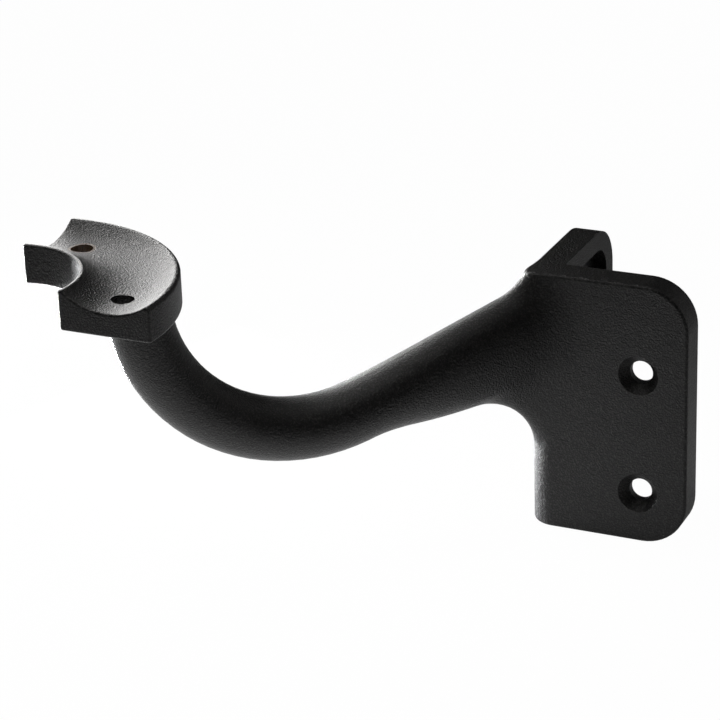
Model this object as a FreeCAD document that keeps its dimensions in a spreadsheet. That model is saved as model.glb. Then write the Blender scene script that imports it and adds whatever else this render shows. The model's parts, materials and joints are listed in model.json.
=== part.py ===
import FreeCAD, Part
import Sketcher
import math
import os

# Outside-corner handrail bracket, one casting. Millimetres, +Z up.
# The wall's corner line stands at x = 0, y = 0 and the wall fills x > 0, y > 0.
# The body is drawn symmetric about its own XZ plane, arm towards -X, flanges at 45 degrees,
# and its Placement turns it so that the wall faces lie on the planes x = 0 and y = 0.

doc = FreeCAD.newDocument("HandrailBracket")
dims = doc.addObject("Spreadsheet::Sheet", "Dims")

values = [
    # corner plate
    ("plateHeight", 70.0),     # top to bottom
    ("plateThick", 8.0),
    ("flangeLength", 34.8),    # wall corner to free edge, on the wall side
    ("flangeRound", 11.7),     # free corners, seen square on
    ("arrisRound", 6.5),       # outer upright edge
    ("edgeSoft", 0.8),         # eased outer edges
    ("spareFoot", 10.0),       # drawn past the plate's foot
    ("spareHead", 20.0),       # and past its head, then faced off
    # screws to the wall: number 12 flat heads
    ("screwAside", 22.0),      # from the wall corner
    ("screwLow", 13.5),        # from the bottom of the plate
    ("screwPitch", 32.5),
    ("screwHole", 6.0),
    ("sinkWide", 10.5),
    ("sinkAngle", 82.0),
    # relief cast into the wall side of each flange
    ("reliefDeep", 3.4),
    ("reliefBorder", 5.0),     # left standing round the free edges
    ("reliefInset", 7.0),      # and along the wall corner
    # arm
    ("armRadius", 8.0),
    ("bendRadius", 42.0),      # centre line of the swan neck
    ("bendOut", 69.4),         # centre of the bend, out from the wall corner
    ("bendUp", 80.8),          # and up from the bottom of the plate
    ("bendRise", 16.5),        # slope of the arm where the bend ends, degrees
    ("bendPast", 3.0),         # the arm stays round and straight this far past the bend
    ("stemRun", 1.2),          # straight run above the bend, up to the saddle
    ("stemSunk", 3.0),         # and on into the saddle
    ("rootBlend", 16.0),       # between arm and plate
    # three sections of the flare: place as a share of the run from the wall corner to the
    # end of the bend, middle height, height, width
    ("flareShareA", 0.72), ("flareMidA", 44.7), ("flareTallA", 19.8), ("flareWideA", 15.6),
    ("flareShareB", 0.39), ("flareMidB", 49.3), ("flareTallB", 25.2), ("flareWideB", 14.8),
    ("flareShareC", 0.03), ("flareMidC", 53.5), ("flareTallC", 33.0), ("flareWideC", 14.0),
    # saddle: a slice of a ring, hollowed to the rail's bend
    ("seatThick", 9.9),
    ("seatFloor", 5.7),        # metal left under the rail
    ("seatOut", 144.0),        # centre of the ring, out from the wall corner
    ("seatOuter", 42.3),
    ("seatLip", 0.1707),       # flat left between the hollow and the notch
    ("seatTail", 4.4),         # its ends stand this far past the 45 degree lines
    ("seatSweep", 140.0),      # turned this far before the ends are cut
    ("rimSoft", 1.0),          # outer rim of the hollow
    ("seatSoft", 0.6),         # the saddle's other edges
    ("endSoft", 0.5),          # round its two end faces
    ("railRadius", 17.6),      # hollow for the rail
    ("railBend", 31.25),       # centre line of the rail in plan
    ("pinHole", 5.5),          # screws up into the rail
    ("pinOut", 30.6),
    ("pinAngle", 36.0),
]
for row, (alias, value) in enumerate(values, start=1):
    dims.set("A%d" % row, alias)
    dims.set("B%d" % row, "%g" % value)
    dims.setAlias("B%d" % row, alias)
doc.recompute()
d = dict(values)

body = doc.addObject("PartDesign::Body", "Bracket")
body.Label = "bracket_casting"
planes = {f.Role: f for f in body.Origin.OriginFeatures}


def newSketch(name, plane, shift=None, turn=None):
    """A sketch on one of the body's own planes, moved off it where shift names a cell."""
    sk = body.newObject("Sketcher::SketchObject", name)
    sk.AttachmentSupport = [(planes[plane], "")]
    sk.MapMode = "FlatFace"
    for axis, cell in (shift or {}).items():
        sk.setExpression("AttachmentOffset.Base." + axis, cell)
    if turn:
        axis, angle = turn
        sk.AttachmentOffset = FreeCAD.Placement(FreeCAD.Vector(), FreeCAD.Rotation(axis, angle))
    return sk


def bind(sk, names):
    """Ties named constraints of a sketch to the sheet."""
    for name, cell in names.items():
        sk.setExpression("Constraints." + name, cell)


def dimension(sk, name, *args):
    index = sk.addConstraint(Sketcher.Constraint(*args))
    sk.renameConstraint(index, name)


def edgesOf(feature, test):
    """Names of the edges of a feature's shape for which test is true."""
    return ["Edge%d" % i for i, e in enumerate(feature.Shape.Edges, start=1) if test(e)]


def near(a, b, tol=0.01):
    return abs(a - b) < tol


def soften(name, base, edges, cell):
    """Rolls a radius along the given edges."""
    if not edges:
        raise RuntimeError(name + " found no edge")
    f = body.newObject("PartDesign::Fillet", name)
    f.Base = (base, edges)
    f.setExpression("Radius", cell)
    doc.recompute()
    return f


def volume(feature):
    return feature.Shape.Volume


V = FreeCAD.Vector
s = math.sqrt(0.5)
H, T, L = d["plateHeight"], d["plateThick"], d["flangeLength"]

# Corner plate: an angle section. It is drawn taller than it is and faced off later,
# so that the blend round the arm's root runs full circle first.
plan = newSketch("PlatePlan", "XY_Plane", {"z": "-Dims.spareFoot"})
apex = V(-T / s, 0, 0)
right, left = V(s, -s, 0), V(s, s, 0)
pts = [apex, apex + right * (L + T), right * L, V(0, 0, 0), left * L, apex + left * (L + T)]
for i in range(6):
    plan.addGeometry(Part.LineSegment(pts[i], pts[(i + 1) % 6]), False)
for i in range(6):
    plan.addConstraint(Sketcher.Constraint("Coincident", i, 2, (i + 1) % 6, 1))
plan.addConstraint(Sketcher.Constraint("Coincident", 2, 2, -1, 1))
plan.addConstraint(Sketcher.Constraint("Parallel", 0, 2))
plan.addConstraint(Sketcher.Constraint("Parallel", 5, 3))
plan.addConstraint(Sketcher.Constraint("Perpendicular", 2, 3))
plan.addConstraint(Sketcher.Constraint("Perpendicular", 1, 2))
plan.addConstraint(Sketcher.Constraint("Perpendicular", 4, 3))
plan.addConstraint(Sketcher.Constraint("Angle", -1, 1, 3, 1, math.radians(45)))
plan.addConstraint(Sketcher.Constraint("Equal", 2, 3))
plan.addConstraint(Sketcher.Constraint("Equal", 1, 4))
dimension(plan, "flange", "Distance", 2, L)
dimension(plan, "thick", "Distance", 1, T)
bind(plan, {"flange": "Dims.flangeLength", "thick": "Dims.plateThick"})
plate = body.newObject("PartDesign::Pad", "Plate")
plate.Profile = plan
plate.setExpression("Length", "Dims.plateHeight + Dims.spareFoot + Dims.spareHead")
doc.recompute()

arris = soften("Arris", plate,
               edgesOf(plate, lambda e: e.Length > H and near(e.CenterOfMass.x, -T / s)),
               "Dims.arrisRound")


# Arm: its flared half is a loft, from the round bar where the bend ends to tall ovals
# inside the plate.
def roundStation(name, past):
    """Round section of the arm where the bend ends, or a little past that."""
    sk = newSketch(name, "YZ_Plane",
                   {"y": "Dims.bendUp + %s * sin(Dims.bendRise)" % past,
                    "z": "%s * cos(Dims.bendRise) - Dims.bendOut" % past},
                   (V(1, 0, 0), -d["bendRise"]))
    sk.addGeometry(Part.Circle(V(0, -d["bendRadius"], 0), V(0, 0, 1), d["armRadius"]), False)
    sk.addConstraint(Sketcher.Constraint("PointOnObject", 0, 3, -2))
    dimension(sk, "drop", "DistanceY", 0, 3, -1, 1, d["bendRadius"])
    dimension(sk, "radius", "Radius", 0, d["armRadius"])
    bind(sk, {"drop": "Dims.bendRadius", "radius": "Dims.armRadius"})
    return sk


def ovalStation(letter):
    """Upright oval section of the flare."""
    mid, tall, wide = (d[k + letter] for k in ("flareMid", "flareTall", "flareWide"))
    run = "(Dims.bendOut - Dims.bendRadius * sin(Dims.bendRise))"
    sk = newSketch("Flare" + letter, "YZ_Plane", {"z": "-Dims.flareShare%s * %s" % (letter, run)})
    sk.addGeometry(Part.Ellipse(V(0, mid + tall / 2, 0), V(wide / 2, mid, 0), V(0, mid, 0)), False)
    sk.exposeInternalGeometry(0)
    sk.addConstraint(Sketcher.Constraint("PointOnObject", 0, 3, -2))
    sk.addConstraint(Sketcher.Constraint("Vertical", 1))
    dimension(sk, "middle", "DistanceY", -1, 1, 0, 3, mid)
    dimension(sk, "tall", "Distance", 1, tall)
    dimension(sk, "wide", "Distance", 2, wide)
    bind(sk, {"middle": "Dims.flareMid" + letter, "tall": "Dims.flareTall" + letter,
              "wide": "Dims.flareWide" + letter})
    return sk


stations = [roundStation("BendEnd", "0"), roundStation("BendPast", "Dims.bendPast")]
stations += [ovalStation(letter) for letter in "ABC"]
doc.recompute()
flare = body.newObject("PartDesign::AdditiveLoft", "Flare")
flare.Profile = stations[0]
flare.Sections = stations[1:]
flare.Ruled = False
doc.recompute()


def atRoot(e):
    """Edge where the arm's free-form side meets the plate."""
    kinds = {type(f.Surface).__name__ for f in flare.Shape.ancestorsOfType(e, Part.Face)}
    free = "BSplineSurface" in kinds and len(kinds) == 2
    return free and e.BoundBox.XMin > -T / s


root = soften("RootBlend", flare, edgesOf(flare, atRoot), "Dims.rootBlend")

# Facing the plate off at its true top and bottom.
topPlan = newSketch("TopPlan", "XY_Plane", {"z": "Dims.plateHeight"})
footPlan = newSketch("FootPlan", "XY_Plane")
for sk in (topPlan, footPlan):
    half = d["bendOut"]
    square = [V(-half, -half, 0), V(half, -half, 0), V(half, half, 0), V(-half, half, 0)]
    for i in range(4):
        sk.addGeometry(Part.LineSegment(square[i], square[(i + 1) % 4]), False)
    for i in range(4):
        sk.addConstraint(Sketcher.Constraint("Coincident", i, 2, (i + 1) % 4, 1))
    for i in (0, 2):
        sk.addConstraint(Sketcher.Constraint("Horizontal", i))
        sk.addConstraint(Sketcher.Constraint("Vertical", i + 1))
    sk.addConstraint(Sketcher.Constraint("Equal", 0, 1))
    sk.addConstraint(Sketcher.Constraint("Symmetric", 0, 1, 2, 1, -1, 1))
    dimension(sk, "side", "Distance", 0, 2 * half)
    bind(sk, {"side": "2 * Dims.bendOut"})
before = volume(root)
topCut = body.newObject("PartDesign::Pocket", "TopCut")
topCut.Profile = topPlan
topCut.setExpression("Length", "2 * Dims.spareHead")
topCut.Reversed = True
doc.recompute()
footCut = body.newObject("PartDesign::Pocket", "FootCut")
footCut.Profile = footPlan
footCut.setExpression("Length", "2 * Dims.spareFoot")
doc.recompute()
print("faced off", round(before - volume(footCut), 1))

# Free corners of both flanges.
corners = soften("FlangeCorners", footCut,
                 edgesOf(footCut, lambda e: near(e.Length, T) and e.CenterOfMass.x > 0),
                 "Dims.flangeRound")
print("plate", corners.Shape.isValid(), corners.Shape.BoundBox)

# Arm: the swan neck is a round bar bent on one radius, from the flare up to the saddle.
neckPlan = newSketch("NeckPlan", "XY_Plane", {"z": "Dims.bendUp"})
neckX = -d["bendOut"] - d["bendRadius"]
neckPlan.addGeometry(Part.Circle(V(neckX, 0, 0), V(0, 0, 1), d["armRadius"]), False)
neckPlan.addGeometry(Part.LineSegment(V(-d["bendOut"], -d["armRadius"], 0),
                                      V(-d["bendOut"], d["armRadius"], 0)), True)
neckPlan.addConstraint(Sketcher.Constraint("PointOnObject", 0, 3, -1))
neckPlan.addConstraint(Sketcher.Constraint("Symmetric", 1, 1, 1, 2, -1))
dimension(neckPlan, "radius", "Radius", 0, d["armRadius"])
dimension(neckPlan, "axis", "DistanceX", 1, 1, -1, 1, d["bendOut"])
dimension(neckPlan, "axisLong", "DistanceY", 1, 1, 1, 2, 2 * d["armRadius"])
dimension(neckPlan, "out", "DistanceX", 0, 3, -1, 1, -neckX)
bind(neckPlan, {"radius": "Dims.armRadius", "axis": "Dims.bendOut",
                "axisLong": "2 * Dims.armRadius", "out": "Dims.bendOut + Dims.bendRadius"})
neck = body.newObject("PartDesign::Revolution", "Neck")
neck.Profile = neckPlan
neck.ReferenceAxis = (neckPlan, ["Axis0"])
neck.setExpression("Angle", "90 + Dims.bendRise")
neck.Reversed = True
doc.recompute()
print("neck", neck.Shape.isValid(), neck.Shape.BoundBox)

# Saddle: a slice of a ring under the rail's bend, turned about the ring's own axis. Its
# section is hollowed by the rail and rounded at every corner.
seatPlan = newSketch("SeatSection", "XZ_Plane")
underCell = "Dims.bendUp + Dims.stemRun"
cx, under = -d["seatOut"], d["bendUp"] + d["stemRun"]
over = under + d["seatThick"]
xo = cx + d["seatOuter"]
railR = d["railRadius"]
railX, railZ = cx + d["railBend"], under + d["seatFloor"] + railR
soft, rim = d["seatSoft"], d["rimSoft"]
rimX = xo - rim
rimZ = railZ - math.sqrt((railR + rim) ** 2 - (rimX - railX) ** 2)
lipZ = over - soft
lipX = railX - math.sqrt((railR + soft) ** 2 - (railZ - lipZ) ** 2)
xi = lipX - d["seatLip"] - soft
towardRim = math.atan2(railZ - rimZ, railX - rimX)
towardLip = math.atan2(railZ - lipZ, railX - lipX)
quarter = math.pi / 2


def seatLine(x1, z1, x2, z2):
    seatPlan.addGeometry(Part.LineSegment(V(x1, z1, 0), V(x2, z2, 0)), False)


def seatArc(x, z, radius, start, end):
    circle = Part.Circle(V(x, z, 0), V(0, 0, 1), radius)
    seatPlan.addGeometry(Part.ArcOfCircle(circle, start, end), False)


seatLine(xi + soft, under, xo - soft, under)
seatArc(xo - soft, under + soft, soft, -quarter, 0)
seatLine(xo, under + soft, xo, rimZ)
seatArc(rimX, rimZ, rim, 0, towardRim)
seatArc(railX, railZ, railR, math.pi + towardLip, math.pi + towardRim)
seatArc(lipX, lipZ, soft, towardLip, quarter)
seatLine(lipX, over, xi + soft, over)
seatArc(xi + soft, over - soft, soft, quarter, 2 * quarter)
seatLine(xi, over - soft, xi, under + soft)
seatArc(xi + soft, under + soft, soft, 2 * quarter, 3 * quarter)
for i in range(10):
    if i == 3:
        seatPlan.addConstraint(Sketcher.Constraint("Tangent", 3, 2, 4, 2))
    elif i == 4:
        seatPlan.addConstraint(Sketcher.Constraint("Tangent", 4, 1, 5, 1))
    else:
        seatPlan.addConstraint(Sketcher.Constraint("Tangent", i, 2, (i + 1) % 10, 1))
for i in (0, 6):
    seatPlan.addConstraint(Sketcher.Constraint("Horizontal", i))
    seatPlan.addConstraint(Sketcher.Constraint("Vertical", i + 2))
for i in (5, 7, 9):
    seatPlan.addConstraint(Sketcher.Constraint("Equal", 1, i))
seatPlan.addGeometry(Part.LineSegment(V(cx, under, 0), V(cx, over, 0)), True)
seatPlan.addConstraint(Sketcher.Constraint("Vertical", 10))
dimension(seatPlan, "soft", "Radius", 1, soft)
dimension(seatPlan, "rim", "Radius", 3, rim)
dimension(seatPlan, "rail", "Radius", 4, railR)
dimension(seatPlan, "axis", "DistanceX", 10, 1, -1, 1, d["seatOut"])
dimension(seatPlan, "axisFoot", "DistanceY", -1, 1, 10, 1, under)
dimension(seatPlan, "axisTop", "DistanceY", 10, 1, 10, 2, d["seatThick"])
dimension(seatPlan, "railBend", "DistanceX", 10, 1, 4, 3, d["railBend"])
dimension(seatPlan, "railUp", "DistanceY", -1, 1, 4, 3, railZ)
dimension(seatPlan, "lip", "DistanceX", 6, 2, 6, 1, d["seatLip"])
dimension(seatPlan, "outer", "DistanceX", 10, 1, 2, 1, d["seatOuter"])
dimension(seatPlan, "under", "DistanceY", -1, 1, 0, 1, under)
dimension(seatPlan, "thick", "DistanceY", 0, 1, 6, 1, d["seatThick"])
bind(seatPlan, {"soft": "Dims.seatSoft", "rim": "Dims.rimSoft", "rail": "Dims.railRadius",
                "axis": "Dims.seatOut", "axisFoot": underCell,
                "axisTop": "Dims.seatThick", "railBend": "Dims.railBend",
                "railUp": underCell + " + Dims.seatFloor + Dims.railRadius",
                "lip": "Dims.seatLip", "outer": "Dims.seatOuter", "under": underCell,
                "thick": "Dims.seatThick"})
before = volume(neck)
seat = body.newObject("PartDesign::Revolution", "Seat")
seat.Profile = seatPlan
seat.ReferenceAxis = (seatPlan, ["Axis0"])
seat.setExpression("Angle", "Dims.seatSweep")
seat.Midplane = True
doc.recompute()
print("saddle ring", seat.Shape.isValid(), round(volume(seat) - before, 1))

# Its two ends are square to each other, a tail's length past the 45 degree lines.
endPlan = newSketch("SeatEndPlan", "XY_Plane", {"z": underCell})
tipX = cx - d["seatTail"] / s
reach = d["seatOuter"] + d["seatTail"]
outline = [V(tipX, 0, 0), V(tipX + reach, reach, 0), V(tipX - reach, reach, 0),
           V(tipX - reach, -reach, 0), V(tipX + reach, -reach, 0)]
for i in range(5):
    endPlan.addGeometry(Part.LineSegment(outline[i], outline[(i + 1) % 5]), False)
for i in range(5):
    endPlan.addConstraint(Sketcher.Constraint("Coincident", i, 2, (i + 1) % 5, 1))
endPlan.addConstraint(Sketcher.Constraint("PointOnObject", 0, 1, -1))
endPlan.addConstraint(Sketcher.Constraint("Horizontal", 1))
endPlan.addConstraint(Sketcher.Constraint("Vertical", 2))
endPlan.addConstraint(Sketcher.Constraint("Horizontal", 3))
endPlan.addConstraint(Sketcher.Constraint("Perpendicular", 0, 4))
endPlan.addConstraint(Sketcher.Constraint("Equal", 0, 4))
endPlan.addConstraint(Sketcher.Constraint("Equal", 1, 3))
dimension(endPlan, "tip", "DistanceX", 0, 1, -1, 1, -tipX)
dimension(endPlan, "side", "DistanceX", 0, 1, 0, 2, reach)
dimension(endPlan, "back", "DistanceX", 1, 2, 0, 1, reach)
bind(endPlan, {"tip": "Dims.seatOut + Dims.seatTail * sqrt(2)",
               "side": "Dims.seatOuter + Dims.seatTail",
               "back": "Dims.seatOuter + Dims.seatTail"})
before = volume(seat)
seatEnds = body.newObject("PartDesign::Pocket", "SeatEnds")
seatEnds.Profile = endPlan
seatEnds.setExpression("Length", "2 * Dims.seatThick")
seatEnds.Midplane = True
seatEnds.Reversed = True
doc.recompute()
print("ends took", round(before - volume(seatEnds), 1), len(seatEnds.Shape.Solids))

# The neck's last straight run, into the saddle.
stemPlan = newSketch("StemPlan", "XY_Plane", {"z": "Dims.bendUp"})
stemPlan.addGeometry(Part.Circle(V(neckX, 0, 0), V(0, 0, 1), d["armRadius"]), False)
stemPlan.addConstraint(Sketcher.Constraint("PointOnObject", 0, 3, -1))
dimension(stemPlan, "radius", "Radius", 0, d["armRadius"])
dimension(stemPlan, "out", "DistanceX", 0, 3, -1, 1, -neckX)
bind(stemPlan, {"radius": "Dims.armRadius", "out": "Dims.bendOut + Dims.bendRadius"})
stem = body.newObject("PartDesign::Pad", "Stem")
stem.Profile = stemPlan
stem.setExpression("Length", "Dims.stemRun + Dims.stemSunk")
doc.recompute()
print("stem", stem.Shape.isValid(), len(stem.Shape.Solids))

# Two screw holes up through the saddle into the rail.
pinPlan = newSketch("PinPlan", "XY_Plane", {"z": underCell})
for side in (-1, 1):
    a = math.radians(d["pinAngle"])
    pinPlan.addGeometry(Part.Circle(V(cx + d["pinOut"] * math.cos(a),
                                      side * d["pinOut"] * math.sin(a), 0),
                                    V(0, 0, 1), d["pinHole"] / 2), False)
pinPlan.addConstraint(Sketcher.Constraint("Equal", 0, 1))
pinPlan.addConstraint(Sketcher.Constraint("Symmetric", 0, 3, 1, 3, -1))
dimension(pinPlan, "hole", "Diameter", 0, d["pinHole"])
dimension(pinPlan, "out", "DistanceX", 0, 3, -1, 1, d["seatOut"] - d["pinOut"] * math.cos(a))
dimension(pinPlan, "aside", "DistanceY", 0, 3, -1, 1, d["pinOut"] * math.sin(a))
bind(pinPlan, {"hole": "Dims.pinHole",
               "out": "Dims.seatOut - Dims.pinOut * cos(Dims.pinAngle)",
               "aside": "Dims.pinOut * sin(Dims.pinAngle)"})
before = volume(stem)
pins = body.newObject("PartDesign::Pocket", "PinHoles")
pins.Profile = pinPlan
pins.setExpression("Length", "2 * Dims.seatThick")
pins.Reversed = True
doc.recompute()
print("pin holes took", round(before - volume(pins), 1))

# Countersunk screw holes of one flange, and their mirror image in the other.
screwPlan = newSketch("ScrewPlan", "XZ_Plane",
                      {"x": "-Dims.plateThick * sqrt(0.5)", "z": "Dims.plateThick * sqrt(0.5)"},
                      (V(0, 1, 0), -45))
for k in (0, 1):
    screwPlan.addGeometry(Part.Circle(V(d["screwAside"], d["screwLow"] + k * d["screwPitch"], 0),
                                      V(0, 0, 1), d["screwHole"] / 2), False)
screwPlan.addConstraint(Sketcher.Constraint("Equal", 0, 1))
screwPlan.addConstraint(Sketcher.Constraint("Vertical", 0, 3, 1, 3))
dimension(screwPlan, "hole", "Diameter", 0, d["screwHole"])
dimension(screwPlan, "aside", "DistanceX", -1, 1, 0, 3, d["screwAside"])
dimension(screwPlan, "low", "DistanceY", -1, 1, 0, 3, d["screwLow"])
dimension(screwPlan, "pitch", "DistanceY", 0, 3, 1, 3, d["screwPitch"])
bind(screwPlan, {"hole": "Dims.screwHole", "aside": "Dims.screwAside", "low": "Dims.screwLow",
                 "pitch": "Dims.screwPitch"})
doc.recompute()
before = volume(pins)
screws = body.newObject("PartDesign::Hole", "ScrewHoles")
screws.Profile = screwPlan
doc.recompute()
screws.ThreadType = "None"
screws.setExpression("Diameter", "Dims.screwHole")
screws.DepthType = "Dimension"
screws.setExpression("Depth", "Dims.plateThick + 1")
screws.DrillPoint = "Flat"
screws.HoleCutType = "Countersink"
screws.HoleCutCustomValues = True
screws.setExpression("HoleCutDiameter", "Dims.sinkWide")
screws.setExpression("HoleCutCountersinkAngle", "Dims.sinkAngle")
doc.recompute()
print("screw holes took", round(before - volume(screws), 1))
before = volume(screws)
mirror = body.newObject("PartDesign::Mirrored", "OtherScrewHoles")
mirror.Originals = [screws]
mirror.MirrorPlane = (planes["XZ_Plane"], [""])
body.Tip = mirror
doc.recompute()
print("mirrored holes took", round(before - volume(mirror), 1))

# Each flange is relieved on its wall side, so that it bears on a border.
reliefPlan = newSketch("ReliefPlan", "XZ_Plane", None, (V(0, 1, 0), -45))
b0, b1 = d["reliefInset"], L - d["reliefBorder"]
z0, z1 = d["reliefBorder"], H - d["reliefBorder"]
corner = [V(b0, z0, 0), V(b1, z0, 0), V(b1, z1, 0), V(b0, z1, 0)]
for i in range(4):
    reliefPlan.addGeometry(Part.LineSegment(corner[i], corner[(i + 1) % 4]), False)
for i in range(4):
    reliefPlan.addConstraint(Sketcher.Constraint("Coincident", i, 2, (i + 1) % 4, 1))
for i in (0, 2):
    reliefPlan.addConstraint(Sketcher.Constraint("Horizontal", i))
    reliefPlan.addConstraint(Sketcher.Constraint("Vertical", i + 1))
dimension(reliefPlan, "inset", "DistanceX", -1, 1, 0, 1, b0)
dimension(reliefPlan, "reach", "DistanceX", -1, 1, 0, 2, b1)
dimension(reliefPlan, "foot", "DistanceY", -1, 1, 0, 1, z0)
dimension(reliefPlan, "head", "DistanceY", -1, 1, 1, 2, z1)
bind(reliefPlan, {"inset": "Dims.reliefInset", "reach": "Dims.flangeLength - Dims.reliefBorder",
                  "foot": "Dims.reliefBorder", "head": "Dims.plateHeight - Dims.reliefBorder"})
before = volume(mirror)
relief = body.newObject("PartDesign::Pocket", "Relief")
relief.Profile = reliefPlan
relief.setExpression("Length", "Dims.reliefDeep")
relief.Reversed = True
doc.recompute()
reliefRound = soften("ReliefRound", relief,
                     edgesOf(relief, lambda e: near(e.Length, d["reliefDeep"])
                             and e.CenterOfMass.y < 0 and e.CenterOfMass.x > L * s / 2),
                     "Dims.flangeRound - Dims.reliefBorder")
otherRelief = body.newObject("PartDesign::Mirrored", "OtherRelief")
otherRelief.Originals = [relief, reliefRound]
otherRelief.MirrorPlane = (planes["XZ_Plane"], [""])
body.Tip = otherRelief
doc.recompute()
print("reliefs took", round(before - volume(otherRelief), 1))

# Eased edges. First all round the saddle's two ends.
def onSeatEnd(e):
    if e.Degenerated or e.BoundBox.ZMin < under - 0.1 or e.BoundBox.XMax > xo:
        return False
    return all(near(abs(q.y), q.x - tipX, 0.02) for q in e.discretize(7))


seatEdges = edgesOf(otherRelief, onSeatEnd)
print("saddle edges", len(seatEdges))
saddleSoft = soften("SaddleEdges", otherRelief, seatEdges, "Dims.endSoft")


# The plate's outer edges, with the roundings at the flanges' corners.
def onPlate(e):
    if e.Degenerated or e.BoundBox.XMin < -d["bendOut"] / 2:
        return False
    ends = e.discretize(5)
    skin = d["plateThick"] * math.sqrt(2)
    outside = all(near(abs(q.y), q.x + skin, 0.02) for q in ends)
    first, last = ends[0], ends[-1]
    level = all(near(q.z, first.z) for q in ends)
    atEnd = level and (near(first.z, 0) or near(first.z, d["plateHeight"]))
    kind = type(e.Curve).__name__
    if outside and kind == "Line":
        upright = near(first.x, last.x) and near(first.y, last.y)
        return atEnd or (upright and first.x > 0)
    if outside and kind == "Circle":
        return near(e.Curve.Radius, d["flangeRound"])
    return atEnd and max(q.x for q in ends) < 0


plateEdges = edgesOf(saddleSoft, onPlate)
print("plate edges", len(plateEdges))
plateSoft = soften("PlateEdges", saddleSoft, plateEdges, "Dims.edgeSoft")
print("softened", saddleSoft.Shape.isValid(), plateSoft.Shape.isValid())

doc.recompute()
body.Placement = FreeCAD.Placement(V(0, 0, 0), FreeCAD.Rotation(V(0, 0, 1), 45))
doc.recompute()
bad = [o.Name for o in doc.Objects if "Invalid" in o.State or "Error" in o.State]
if bad:
    raise RuntimeError("failed features: " + ", ".join(bad))
os.makedirs("parts", exist_ok=True)
shape = body.Shape
if shape.isNull() or not shape.isValid():
    raise RuntimeError("bracket_casting is not a valid solid")
print("solids", len(shape.Solids), "faces", len(shape.Faces), "volume", round(shape.Volume))
shape.exportStep("parts/" + body.Label + ".step")
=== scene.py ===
import bmesh
import bpy
import json
import math
from mathutils import Matrix, Vector


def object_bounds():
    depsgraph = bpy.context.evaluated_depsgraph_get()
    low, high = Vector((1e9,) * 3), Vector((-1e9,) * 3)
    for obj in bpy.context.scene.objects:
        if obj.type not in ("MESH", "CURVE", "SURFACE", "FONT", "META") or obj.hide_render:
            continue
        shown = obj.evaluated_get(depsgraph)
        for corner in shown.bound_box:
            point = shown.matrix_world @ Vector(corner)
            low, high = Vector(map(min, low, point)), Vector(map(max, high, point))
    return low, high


# Corner handrail bracket in black powder coat, on a white table. Metres, in the CAD's own frame.

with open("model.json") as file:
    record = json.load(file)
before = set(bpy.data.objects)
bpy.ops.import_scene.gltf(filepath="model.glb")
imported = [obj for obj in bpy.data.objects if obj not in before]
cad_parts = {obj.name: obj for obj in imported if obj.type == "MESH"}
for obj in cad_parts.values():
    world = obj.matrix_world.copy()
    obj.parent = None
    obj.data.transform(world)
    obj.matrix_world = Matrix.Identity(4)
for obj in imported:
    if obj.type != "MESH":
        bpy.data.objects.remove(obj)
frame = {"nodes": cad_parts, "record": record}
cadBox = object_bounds()
print("frame loaded", sorted(frame["nodes"]))

millimetre = 0.001
white = (1, 1, 1, 1)
nodeStep = 220    # from one shader node to the next in the editor


# Adds a shader node. Each value goes to the input of that name, or else to the node's own setting.
def addNode(tree, kind, spot, **values):
    node = tree.nodes.new(kind)
    node.location = (spot[0] * nodeStep, -spot[1] * nodeStep)
    for key, value in values.items():
        if key in node.inputs:
            node.inputs[key].default_value = value
        else:
            setattr(node, key, value)
    return node


def wire(source, outlet, target, inlet):
    source.id_data.links.new(source.outputs[outlet], target.inputs[inlet])


coat = {
    "valley": (0.0008, 0.0007, 0.0007, 1),   # colour between the grains
    "peak": (0.0340, 0.0320, 0.0305, 1),     # and on them
    "speck": (0.50, 0.72),         # the grain's noise turns from valley to peak between these
    "roughness": (0.32, 0.44),     # where the grain's noise is 0 and 1
    "sand": (0.009, 0.00012),      # unevenness of the casting: size and height
    "peel": (0.0024, 0.00010),     # slow waves left by the flow of the coat
    "grain": (0.00045, 0.00030),   # the powder's grains
    "detail": 2.0,                 # finer layers in each noise
}
bareHole = {
    "side": (-1, 1, 0),            # from the middle of the rail's screw holes to this one
    "above": 0.0032,               # the bare patch's middle stands this far above the mount
    "margin": 0.00065,             # and it reaches this far past the hole's radius
    "colour": (0.090, 0.055, 0.028, 1),
}


# Three layers of bump, each on the one before. Returns the last layer's noise and bump.
def addBumps(tree, place):
    below = None
    for row, layer in enumerate(("sand", "peel", "grain")):
        size, height = coat[layer]
        noise = addNode(tree, "ShaderNodeTexNoise", (-6, row), Scale=1 / size, Detail=coat["detail"])
        bump = addNode(tree, "ShaderNodeBump", (row - 3, row), Strength=1.0, Distance=height)
        wire(place, "Object", noise, "Vector")
        wire(noise, "Fac", bump, "Height")
        if below:
            wire(below, "Normal", bump, "Normal")
        below = bump
    return noise, below


# Middle and reach of the bare patch in the farther of the rail's two screw holes
def barePatch():
    screws = next(m for m in frame["record"]["mounts"] if m["name"] == "rail_screws")
    sideways = Vector(bareHole["side"]).normalized() * screws["dims"]["pcd_mm"] / 2 * millimetre
    middle = Vector(screws["pos_m"]) + sideways + Vector((0, 0, bareHole["above"]))
    return middle, screws["dims"]["hole_r_mm"] * millimetre + bareHole["margin"]


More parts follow.
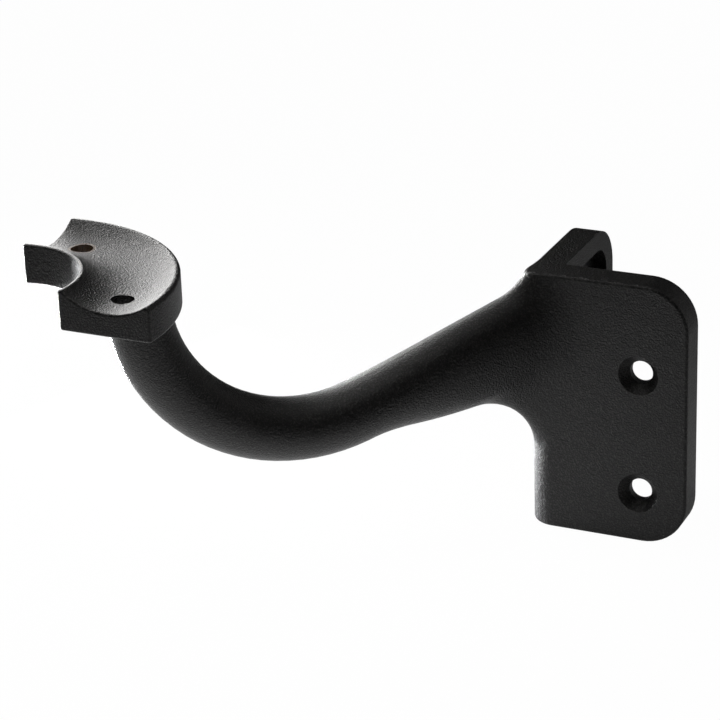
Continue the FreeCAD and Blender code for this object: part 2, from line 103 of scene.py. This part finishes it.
def addColour(tree, place, grain):
    low, high = coat["speck"]
    speck = addNode(tree, "ShaderNodeMapRange", (-5, 4), **{"From Min": low, "From Max": high})
    tone = addNode(tree, "ShaderNodeMix", (-4, 4), data_type="RGBA", A=coat["valley"], B=coat["peak"])
    away = addNode(tree, "ShaderNodeVectorMath", (-6, 5), operation="DISTANCE")
    inside = addNode(tree, "ShaderNodeMath", (-5, 5), operation="LESS_THAN")
    middle, reach = barePatch()
    away.inputs[1].default_value = middle
    inside.inputs[1].default_value = reach
    colour = addNode(tree, "ShaderNodeMix", (-3, 5), data_type="RGBA", B=bareHole["colour"])
    wire(grain, "Fac", speck, "Value")
    wire(speck, "Result", tone, "Factor")
    wire(place, "Object", away, 0)
    wire(away, "Value", inside, 0)
    wire(inside, "Value", colour, "Factor")
    wire(tone, "Result", colour, "A")
    return colour


def blackCoat():
    mat = bpy.data.materials.new("blackCoat")
    mat.use_nodes = True
    tree = mat.node_tree
    shader = tree.nodes["Principled BSDF"]
    place = addNode(tree, "ShaderNodeTexCoord", (-7, 0))
    grain, relief = addBumps(tree, place)
    low, high = coat["roughness"]
    spread = addNode(tree, "ShaderNodeMapRange", (-3, 3), **{"To Min": low, "To Max": high})
    wire(grain, "Fac", spread, "Value")
    wire(spread, "Result", shader, "Roughness")
    wire(relief, "Normal", shader, "Normal")
    wire(addColour(tree, place, grain), "Result", shader, "Base Color")
    return mat


casting = frame["nodes"]["bracket_casting"]
casting.data.materials.clear()
casting.data.materials.append(blackCoat())
print("casting coated")


table = {
    "size": 6.0,
    "gap": 0.0002,            # left between the casting and the table
    "colour": (0.9, 0.9, 0.9, 1),
    "roughness": 0.9,
    "seenGlow": 0.985,        # share of plain white where the camera looks at the table
    "mirroredGlow": 1.0,      # where the coat mirrors it, in the middle of the painted pool of light
    "mirroredEdge": 0.04,     # and past the pool's edge
    # middle and reach of the painted pool of light, which only the coat's reflections show
    "poolSpot": (-0.12, -0.08, 0.0),
    "poolReach": 0.22,
}


# White paint that glows for the camera, and for mirrored rays mostly in a painted pool of light that no lamp
# casts
def whitePaint():
    mat = bpy.data.materials.new("whiteTable")
    mat.use_nodes = True
    tree = mat.node_tree
    paint = tree.nodes["Principled BSDF"]
    paint.inputs["Base Color"].default_value = table["colour"]
    paint.inputs["Roughness"].default_value = table["roughness"]
    place = addNode(tree, "ShaderNodeTexCoord", (-4, -3))
    away = addNode(tree, "ShaderNodeVectorMath", (-3, -3), operation="DISTANCE")
    away.inputs[1].default_value = table["poolSpot"]
    ramp = {"From Max": table["poolReach"], "To Min": table["mirroredGlow"], "To Max": table["mirroredEdge"]}
    pool = addNode(tree, "ShaderNodeMapRange", (-2, -3), interpolation_type="SMOOTHSTEP", **ramp)
    path = addNode(tree, "ShaderNodeLightPath", (-2, -2))
    seen = addNode(tree, "ShaderNodeMath", (-1, -1), operation="MULTIPLY")
    seen.inputs[1].default_value = table["seenGlow"]
    share = addNode(tree, "ShaderNodeMath", (0, -2), operation="MULTIPLY_ADD")
    glow = addNode(tree, "ShaderNodeEmission", (0, 2), Color=white, Strength=1.0)
    mix = addNode(tree, "ShaderNodeMixShader", (2, 0))
    wire(place, "Object", away, 0)
    wire(away, "Value", pool, "Value")
    wire(path, "Is Camera Ray", seen, 0)
    wire(path, "Is Glossy Ray", share, 0)
    wire(pool, "Result", share, 1)
    wire(seen, "Value", share, 2)
    wire(share, "Value", mix, 0)
    wire(paint, "BSDF", mix, 1)
    wire(glow, "Emission", mix, 2)
    wire(mix, "Shader", tree.nodes["Material Output"], "Surface")
    return mat


def tableTop():
    mesh = bpy.data.meshes.new("tableTop")
    bm = bmesh.new()
    bmesh.ops.create_grid(bm, x_segments=1, y_segments=1, size=table["size"] / 2)
    bmesh.ops.translate(bm, vec=(0, 0, cadBox[0][2] - table["gap"]), verts=bm.verts)
    bm.to_mesh(mesh)
    bm.free()
    mesh.materials.append(whitePaint())
    top = bpy.data.objects.new("tableTop", mesh)
    bpy.context.collection.objects.link(top)


tableTop()
print("table laid")


room = {
    "dim": 0.020,    # strength of the room's own light on the casting
    "seen": 1.0,     # plain white behind it
}


def whiteRoom():
    world = bpy.data.worlds.new("whiteRoom")
    bpy.context.scene.world = world
    world.use_nodes = True
    tree = world.node_tree
    tree.nodes.clear()
    path = addNode(tree, "ShaderNodeLightPath", (-3, 0))
    either = addNode(tree, "ShaderNodeMath", (-2, 0), operation="MAXIMUM")
    dim = addNode(tree, "ShaderNodeBackground", (0, 1), Color=white, Strength=room["dim"])
    seen = addNode(tree, "ShaderNodeBackground", (0, 2), Color=white, Strength=room["seen"])
    mix = addNode(tree, "ShaderNodeMixShader", (1, 0))
    out = addNode(tree, "ShaderNodeOutputWorld", (2, 0))
    wire(path, "Is Camera Ray", either, 0)
    wire(path, "Is Transmission Ray", either, 1)
    wire(either, "Value", mix, 0)
    wire(dim, "Background", mix, 1)
    wire(seen, "Background", mix, 2)
    wire(mix, "Shader", out, "Surface")


whiteRoom()
print("room whitened")


# Flat lamps. A fan of 180 degrees isn't narrowed. Power is in watts.
lamps = {
    "overhead": {    # on the whole casting, from above
        "spot": (-0.10, 0.10, 0.90), "aim": (0.0, 0.0, 0.0), "size": (0.80, 0.80),
        "fan": 180, "power": 0.8, "colour": (1.0, 1.0, 1.0),
    },
    "saddle": {      # into the hollow
        "spot": (-0.15, -0.12, 0.36), "aim": (-0.10, -0.10, 0.09), "size": (0.16, 0.16),
        "fan": 70, "power": 0.06, "colour": (1.0, 0.985, 0.96),
    },
    "back": {        # along the hollow's right side and the top of the arm
        "spot": (-0.33, 0.12, 0.15), "aim": (-0.10, -0.10, 0.09), "size": (0.26, 0.20),
        "fan": 90, "power": 0.33, "colour": (1.0, 0.99, 0.98),
    },
    "left": {        # along the lower left of the bend and the corner edge
        "spot": (-0.40, 0.02, 0.03), "aim": (-0.03, -0.02, 0.04), "size": (0.10, 0.05),
        "fan": 120, "power": 0.8, "colour": (0.97, 0.98, 1.0),
    },
    "wallSide": {    # on the side that goes to the wall
        "spot": (0.50, 0.45, 0.40), "aim": (-0.03, -0.03, 0.05), "size": (0.40, 0.40),
        "fan": 180, "power": 0.35, "colour": (1.0, 0.99, 0.97),
    },
    "below": {       # up at the underside of the arm and its blend into the plate
        "spot": (-0.16, 0.04, 0.003), "aim": (-0.05, 0.0, 0.10), "size": (0.10, 0.10),
        "fan": 120, "power": 2.4, "colour": (0.97, 0.98, 1.0),
    },
}


def softLamps():
    for name, lamp in lamps.items():
        light = bpy.data.lights.new(name + "Lamp", "AREA")
        light.shape = "RECTANGLE"
        light.size, light.size_y = lamp["size"]
        light.energy = lamp["power"]
        light.color = lamp["colour"]
        light.spread = math.radians(lamp["fan"])
        holder = bpy.data.objects.new(name + "Lamp", light)
        holder.location = lamp["spot"]
        holder.visible_camera = False
        away = Vector(lamp["spot"]) - Vector(lamp["aim"])
        holder.rotation_euler = away.to_track_quat("Z", "Y").to_euler()
        bpy.context.collection.objects.link(holder)


softLamps()
print("lamps lit")


view = {
    "spot": (0.2255, -0.5981, 0.3194),
    "right": (0.9093, 0.4148, -0.0345),    # the picture's right and up, as directions
    "up": (-0.1349, 0.3722, 0.9183),
    "lens": 136.3,                         # focal length and sensor width, in millimetres
    "sensor": 36.0,
    "nearest": 0.01,                       # nothing closer to the camera is drawn
}


def camera():
    data = bpy.data.cameras.new("camera")
    data.lens = view["lens"]
    data.sensor_width = view["sensor"]
    data.clip_start = view["nearest"]
    holder = bpy.data.objects.new("camera", data)
    right = Vector(view["right"]).normalized()
    up = (Vector(view["up"]) - right * right.dot(Vector(view["up"]))).normalized()
    turn = Matrix((right, up, right.cross(up))).transposed().to_4x4()
    holder.matrix_world = Matrix.Translation(view["spot"]) @ turn
    bpy.context.collection.objects.link(holder)
    bpy.context.scene.camera = holder


camera()
bpy.context.scene.view_settings.view_transform = "Standard"
print("camera set")

print("finished")
